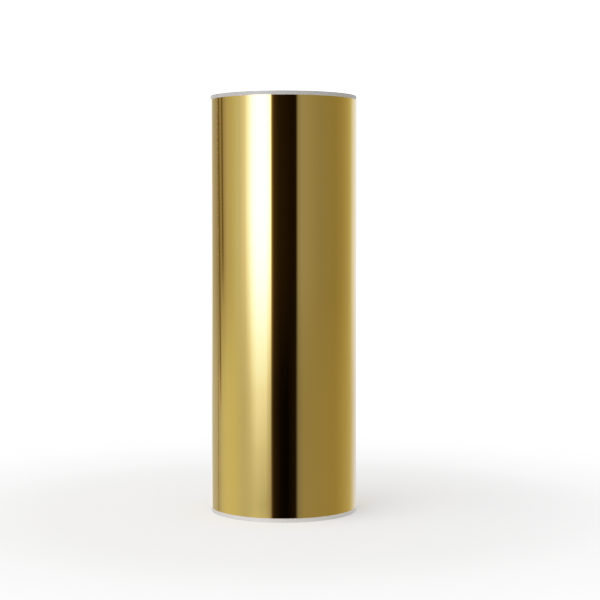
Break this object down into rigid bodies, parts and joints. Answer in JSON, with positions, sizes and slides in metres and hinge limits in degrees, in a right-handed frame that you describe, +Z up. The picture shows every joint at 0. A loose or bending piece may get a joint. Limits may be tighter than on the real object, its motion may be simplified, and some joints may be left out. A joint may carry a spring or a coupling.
{
  "type": "roll of sign vinyl",
  "caption": "Roll of gold mirror vinyl on a white release liner, wound face out on a spiral-wound paper core, with a free tail that lifts and a film end that peels.",
  "frame": {"origin": "centre of the core's bore at its lower end", "axes": "+Z up along the core's axis; the web's free end is at 208.5 degrees anticlockwise from +X, and -Y is the front"},
  "size_m": [0.1096, 0.1094, 0.311],
  "materials": {
    "core_inner_paper": "matte",
    "core_board": "matte",
    "core_outer_paper": "matte",
    "start_tape": "gloss",
    "release_liner": "satin",
    "mirror_film": "polished"
  },
  "bodies": {
    "roll": {"core_inner_ply": "core_inner_paper", "core_board_ply_1": "core_board", "core_board_ply_2": "core_board", "core_board_ply_3": "core_board", "core_board_ply_4": "core_board", "core_board_ply_5": "core_board", "core_board_ply_6": "core_board", "core_outer_ply": "core_outer_paper", "start_tape": "start_tape", "wound_liner": "release_liner", "wound_film": "mirror_film", "outer_turn_liner": "release_liner", "outer_turn_film": "mirror_film"},
    "tail_1": {"tail_liner_1": "release_liner", "tail_film_1": "mirror_film"},
    "tail_2": {"tail_liner_2": "release_liner", "tail_film_2": "mirror_film"},
    "tail_3": {"tail_liner_3": "release_liner", "tail_film_3": "mirror_film"},
    "tail_4": {"tail_liner_4": "release_liner", "tail_film_4": "mirror_film"},
    "film_end": {"film_peel_end": "mirror_film"}
  },
  "joints": [
    {"name": "tail_lift_1", "type": "hinge", "parent": "roll", "child": "tail_1", "pos_m": [0.00133, 0.05474, 0.1555], "axis": [0, 0, -1], "range_deg": [0, 30], "stiffness_Nm_per_rad": 0.03},
    {"name": "tail_lift_2", "type": "hinge", "parent": "tail_1", "child": "tail_2", "pos_m": [-0.02626, 0.04812, 0.1555], "axis": [0, 0, -1], "range_deg": [0, 30], "stiffness_Nm_per_rad": 0.03},
    {"name": "tail_lift_3", "type": "hinge", "parent": "tail_2", "child": "tail_3", "pos_m": [-0.04684, 0.02859, 0.1555], "axis": [0, 0, -1], "range_deg": [0, 30], "stiffness_Nm_per_rad": 0.03},
    {"name": "tail_lift_4", "type": "hinge", "parent": "tail_3", "child": "tail_4", "pos_m": [-0.0549, 0.00138, 0.1555], "axis": [0, 0, -1], "range_deg": [0, 30], "stiffness_Nm_per_rad": 0.03},
    {"name": "film_peel", "type": "hinge", "parent": "tail_4", "child": "film_end", "pos_m": [-0.05431, -0.00816, 0.1555], "axis": [0, 0, -1], "range_deg": [0, 90], "stiffness_Nm_per_rad": 0.003}
  ],
  "couplings": [
    {"joint": "tail_lift_2", "follows": "tail_lift_1", "ratio": 1},
    {"joint": "tail_lift_3", "follows": "tail_lift_1", "ratio": 1},
    {"joint": "tail_lift_4", "follows": "tail_lift_1", "ratio": 1}
  ]
}
